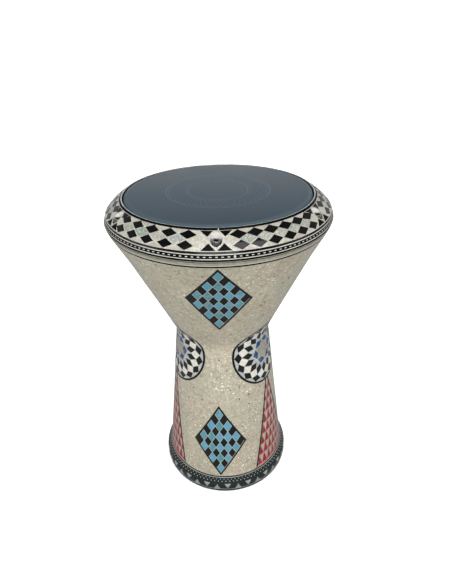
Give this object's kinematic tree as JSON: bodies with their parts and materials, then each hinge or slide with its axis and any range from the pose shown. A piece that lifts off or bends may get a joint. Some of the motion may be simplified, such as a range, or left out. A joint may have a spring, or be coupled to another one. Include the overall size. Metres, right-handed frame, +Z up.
{
  "type": "darbuka",
  "caption": "Goblet hand drum with an inlaid cast body, a stretched film head, and a bevelled tuning ring pulled down by recessed socket-head screws.",
  "frame": {"origin": "centre of the foot's flat bottom, on the drum's axis", "axes": "+Z up the drum's axis towards the head, -Y towards the front tuning screw"},
  "size_m": [0.2696, 0.2696, 0.4294],
  "materials": {
    "cast_body": "cast, lightly machined",
    "pearl_ground": "crushed mother-of-pearl in clear resin, polished",
    "green_pearl": "pale grey-green shell strip under clear resin",
    "mosaic_pearl": "cut mother-of-pearl and black tiles under clear resin",
    "black_inlay": "polished black resin inlay",
    "white_line": "polished bone-white line inlay",
    "blue_inlay": "blue and black tiles under clear resin",
    "red_inlay": "crimson and pale pink tiles under clear resin",
    "head_film": "satin slate-blue polyester film",
    "hoop_metal": "rolled, satin",
    "ring_metal": "cast and turned",
    "screw_steel": "plated, satin"
  },
  "bodies": {
    "drum_body": {"shell": "cast_body", "pearl_ground": "pearl_ground", "foot_edge_line": "black_inlay", "foot_triangle_band": "black_inlay", "foot_dot_strip": "black_inlay", "foot_line": "black_inlay", "rim_line": "black_inlay", "rim_strip": "green_pearl", "upper_diamond_1": "blue_inlay", "upper_diamond_2": "blue_inlay", "upper_diamond_3": "blue_inlay", "lower_diamond_1": "blue_inlay", "lower_diamond_2": "blue_inlay", "lower_diamond_3": "blue_inlay", "rosette_1": "mosaic_pearl", "rosette_2": "mosaic_pearl", "rosette_3": "mosaic_pearl", "red_panel_1": "red_inlay", "red_panel_2": "red_inlay", "red_panel_3": "red_inlay", "head_film": "head_film", "head_hoop": "hoop_metal"},
    "tuning_ring": {"tuning_ring": "ring_metal", "ring_string_line": "black_inlay", "ring_mosaic": "mosaic_pearl", "ring_black_line": "black_inlay", "ring_upper_white_line": "white_line", "ring_chain_strip": "black_inlay", "ring_lower_white_line": "white_line"},
    "tuning_screw_1": {"tuning_screw_1": "screw_steel"},
    "tuning_screw_2": {"tuning_screw_2": "screw_steel"},
    "tuning_screw_3": {"tuning_screw_3": "screw_steel"},
    "tuning_screw_4": {"tuning_screw_4": "screw_steel"},
    "tuning_screw_5": {"tuning_screw_5": "screw_steel"},
    "tuning_screw_6": {"tuning_screw_6": "screw_steel"}
  },
  "joints": [
    {"name": "ring_travel", "type": "slide", "parent": "drum_body", "child": "tuning_ring", "axis": [0, 0, 1], "range_m": [0, 0.0085]},
    {"name": "screw_turn_1", "type": "hinge", "parent": "tuning_ring", "child": "tuning_screw_1", "pos_m": [0, -0.123, 0.4143], "axis": [0, 0, 1], "range_deg": [0, 3100]},
    {"name": "screw_turn_2", "type": "hinge", "parent": "tuning_ring", "child": "tuning_screw_2", "pos_m": [0.10652, -0.0615, 0.4143], "axis": [0, 0, 1], "range_deg": [0, 3100]},
    {"name": "screw_turn_3", "type": "hinge", "parent": "tuning_ring", "child": "tuning_screw_3", "pos_m": [0.10652, 0.0615, 0.4143], "axis": [0, 0, 1], "range_deg": [0, 3100]},
    {"name": "screw_turn_4", "type": "hinge", "parent": "tuning_ring", "child": "tuning_screw_4", "pos_m": [0, 0.123, 0.4143], "axis": [0, 0, 1], "range_deg": [0, 3100]},
    {"name": "screw_turn_5", "type": "hinge", "parent": "tuning_ring", "child": "tuning_screw_5", "pos_m": [-0.10652, 0.0615, 0.4143], "axis": [0, 0, 1], "range_deg": [0, 3100]},
    {"name": "screw_turn_6", "type": "hinge", "parent": "tuning_ring", "child": "tuning_screw_6", "pos_m": [-0.10652, -0.0615, 0.4143], "axis": [0, 0, 1], "range_deg": [0, 3100]}
  ],
  "couplings": [
    {"joint": "screw_turn_1", "follows": "ring_travel", "rad_per_m": 6283.2},
    {"joint": "screw_turn_2", "follows": "ring_travel", "rad_per_m": 6283.2},
    {"joint": "screw_turn_3", "follows": "ring_travel", "rad_per_m": 6283.2},
    {"joint": "screw_turn_4", "follows": "ring_travel", "rad_per_m": 6283.2},
    {"joint": "screw_turn_5", "follows": "ring_travel", "rad_per_m": 6283.2},
    {"joint": "screw_turn_6", "follows": "ring_travel", "rad_per_m": 6283.2}
  ]
}
